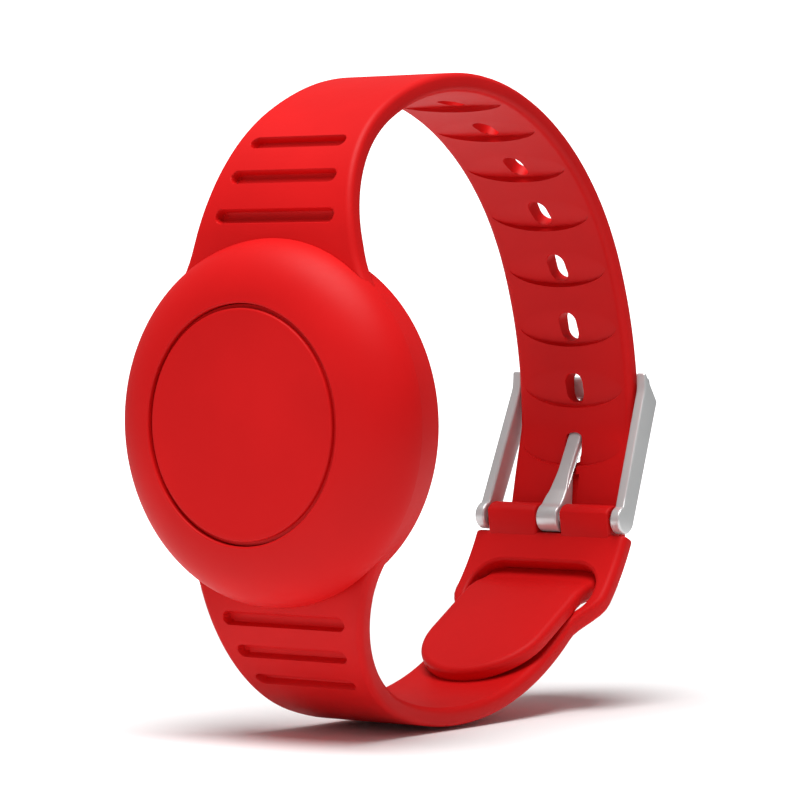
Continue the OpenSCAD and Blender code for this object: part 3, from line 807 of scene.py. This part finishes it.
def pad():
    """The flat press pad: a soft edge, a shallow ledge that floors the ring groove, and a thin flange
    under the dome."""
    face = -DOME_H
    under = face + DOME_WALL + 0.15
    r = PAD_R
    edge = arc((r - PAD_EDGE_R, face + PAD_EDGE_R), PAD_EDGE_R, -90, 0, 7)
    ledge_r = r + PAD_GAP - 0.1
    rim = r + PAD_GAP + FLANGE_W
    ledge = [(r + 0.02, face + 0.5), (ledge_r, face + 0.58), (ledge_r, under)]
    flange = [(rim, under), (rim, under + FLANGE_T), (0.02, under + FLANGE_T)]
    middle = [(0.02, face)] + [(k, face) for k in (3.0, 6.0, 9.0, 11.5)]
    profile = np.concatenate([middle, edge, ledge, flange])
    return lathe("press_pad_disc", profile, "button", RED, 224)


# ---------- buckle ----------

def frame_half(z):
    """Half the frame's width at a distance up the arm."""
    return FRAME_HALF + (FRAME_END_HALF - FRAME_HALF) * np.clip(z, 0, None) / FRAME_TOP


def arm(name, sign):
    """One arm: a round eye, two long edges and an end cut at a slant, with soft edges all round."""
    eye = arc((0, 0), EYE_R, 180 - math.degrees(math.asin(1.27 / EYE_R)), 360, 40)
    edges = rounded([eye[-1], *ARM_END, eye[0]], [0, 0.3, 0.25, 3.0, 0], 6)
    outline = dense(np.concatenate([eye, edges[1:-1]]), 1.5)
    rings = plate_rings(outline, lambda z: sign * (frame_half(z) - ARM_T),
        lambda z: sign * frame_half(z), 0.28, 5)
    obj = loft(name, lean(rings, FRAME_LEAN), "frame", STEEL)
    return smooth(cut(obj, bar_cutter(EYE_BORE_R, FRAME_HALF - 0.2)), 40)


def outer_bar():
    """The bar that joins the arms behind the strap: a flat bar with round edges, notched for the
    tongue's tip."""
    along = np.subtract(BAR_HIGH, BAR_LOW)
    angle = math.degrees(math.atan2(along[1], along[0]))
    outline = np.concatenate([arc(BAR_LOW, BAR_EDGE_R, angle + 90, angle + 270, 12),
        arc(BAR_HIGH, BAR_EDGE_R, angle - 90, angle + 90, 12)])
    inner = frame_half(16.0) - ARM_T + 0.3
    x = np.linspace(-inner, inner, 9)
    rings = [np.column_stack([np.full(len(outline), k), outline]) for k in x]
    obj = loft("buckle_outer_bar", lean(rings, FRAME_LEAN), "frame", STEEL)
    notch = [(-0.8, 10), (3.2, 10), (3.2, 22), (-0.8, 22)]
    return smooth(cut(obj, tongue_cutter(1.1, notch)), 40)


def tongue_half(z):
    """Half the tongue's width: wide round the loop, narrow along the shank, narrower at the tip."""
    return np.interp(z, [-3, 2, 5.5, 17.0, 18.0], [1.4, 1.4, 0.9, 0.88, 0.45])


def tongue():
    """A strip looped round the spring bar that runs up as a straight shank."""
    loop = arc((0, 0), TONGUE_LOOP_R, 137, 396.9, 40)
    shank = rounded([loop[-1], *TONGUE_SIDE, loop[0]], [0, 0.8, 2.5, 0.2, 0.3, 2.0, 0], 6)
    outline = dense(np.concatenate([loop, shank[1:-1]]), 0.8)
    rings = plate_rings(outline, lambda z: -tongue_half(z), tongue_half, 0.22, 5)
    obj = loft("buckle_tongue_strip", lean(rings, TONGUE_LEAN), "tongue", STEEL)
    return smooth(cut(obj, bar_cutter(PIN_BORE_R, 20)), 40)


def coil_half(name, sign):
    """Half of the coil in the spring bar: a round wire of radius r on a helix of radius R, at
    (x + r sin b, (R + r cos b) cos a, (R + r cos b) sin a)."""
    a = np.linspace(0, 2 * np.pi * COIL_TURNS, COIL_TURNS * 20 + 1)[:, None]
    b = np.linspace(0, 2 * np.pi, 10, endpoint=False)[None]
    x = sign * (WIRE_R + (COIL_HALF - 2 * WIRE_R) * a / a[-1]) + WIRE_R * np.sin(b)
    r = COIL_R + WIRE_R * np.cos(b)
    rings = np.stack([x, r * np.cos(a), r * np.sin(a)], -1)
    obj = smooth(loft(name, lean(rings, 0), "band", STEEL))
    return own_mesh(obj)


# ---------- assembly ----------

pieces = [long_strap(), short_strap(), cradle()]
pieces += [sleeve("bar_sleeve_right", NOTCH_HALF, SLEEVE_HALF),
    sleeve("bar_sleeve_left", -SLEEVE_HALF, -NOTCH_HALF)]
for piece in pieces:
    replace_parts(piece, "band")
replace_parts(dome(), "dome_cover")
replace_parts(pad(), "press_pad")
for piece in (arm("buckle_arm_right", 1), arm("buckle_arm_left", -1), outer_bar()):
    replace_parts(piece, "buckle_frame")
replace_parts(tongue(), "buckle_tongue")
for piece in (coil_half("spring_coil_right", 1), coil_half("spring_coil_left", -1)):
    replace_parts(piece, "spring_bar_coil")

for part in frame["record"]["subparts"]:
    node = frame["nodes"][part["node"]]
    for k in range(len(node.material_slots)):
        node.material_slots[k].material = FINISHES[part["material_slot"]]


# ---------- stage ----------

FLOOR_R = 0.2
FLOOR_GAP = 0.0004


def floor_disc():
    """A wide pale floor just under the strap."""
    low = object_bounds()[0]
    r = FLOOR_R
    a = np.linspace(0, 2 * np.pi, 64, endpoint=False)
    mesh = bpy.data.meshes.new("floor")
    z = low.z - FLOOR_GAP
    mesh.from_pydata([(r * math.cos(t), r * math.sin(t), z) for t in a], [], [list(range(64))])
    floor = bpy.data.objects.new("floor", mesh)
    bpy.context.scene.collection.objects.link(floor)
    f = Finish("floor_pale")
    mesh.materials.append(f.use(Base_Color=f.mix(f.noise(3), rgb(0.92, 0.92, 0.92), rgb(0.95, 0.95, 0.95)),
        Roughness=0.9 - 0.05 * f.noise(30)))


def surround():
    """A bright white background for the camera, and a dim white light for everything else."""
    world = bpy.data.worlds.new("surround")
    bpy.context.scene.world = world
    world.use_nodes = True
    tree = world.node_tree
    tree.nodes.clear()
    seen = tree.nodes.new("ShaderNodeBackground")
    seen.inputs["Color"].default_value = rgb(1, 1, 1)
    seen.inputs["Strength"].default_value = 1.6
    given = tree.nodes.new("ShaderNodeBackground")
    given.inputs["Color"].default_value = rgb(1, 1, 1)
    given.inputs["Strength"].default_value = 0.24
    path = tree.nodes.new("ShaderNodeLightPath")
    both = tree.nodes.new("ShaderNodeMixShader")
    out = tree.nodes.new("ShaderNodeOutputWorld")
    tree.links.new(path.outputs["Is Camera Ray"], both.inputs[0])
    tree.links.new(given.outputs[0], both.inputs[1])
    tree.links.new(seen.outputs[0], both.inputs[2])
    tree.links.new(both.outputs[0], out.inputs[0])


def area_light(name, place, size, power):
    """A soft round light at the place, in metres, that faces the middle of the wrist opening."""
    light = bpy.data.lights.new(name, "AREA")
    light.shape = "DISK"
    light.size = size
    light.energy = power
    obj = bpy.data.objects.new(name, light)
    obj.location = place
    obj.rotation_mode = "QUATERNION"
    obj.rotation_quaternion = (-Vector(place)).to_track_quat("-Z", "Y")
    bpy.context.scene.collection.objects.link(obj)


def camera():
    """A long lens in front of the pod's right side, almost level."""
    azimuth, elevation, roll = np.radians([37.591, 1.649, -0.208]).tolist()
    distance, across, up_shift = 411.946, 13.167, 2.413
    back = Vector((math.sin(azimuth) * math.cos(elevation), -math.cos(azimuth) * math.cos(elevation),
        math.sin(elevation)))
    right = Vector((math.cos(azimuth), math.sin(azimuth), 0))
    up = back.cross(right)
    r = right * math.cos(roll) + up * math.sin(roll)
    u = up * math.cos(roll) - right * math.sin(roll)
    data = bpy.data.cameras.new("camera")
    data.sensor_width = 36
    data.lens = 176.119065
    data.clip_start = 0.01
    data.clip_end = 100
    cam = bpy.data.objects.new("camera", data)
    place = (right * across + up * up_shift + back * distance - Vector((0, POD_REACH, 0))) * MM
    cam.matrix_world = Matrix(((r.x, u.x, back.x, place.x), (r.y, u.y, back.y, place.y),
        (r.z, u.z, back.z, place.z), (0, 0, 0, 1)))
    bpy.context.scene.collection.objects.link(cam)
    bpy.context.scene.camera = cam


floor_disc()
surround()
area_light("light_top", (0.05, -0.18, 0.75), 0.6, 8.7)
area_light("light_front", (-0.1, -0.7, 0.1), 0.5, 0.2)
camera()
bpy.context.scene.view_settings.view_transform = "Standard"
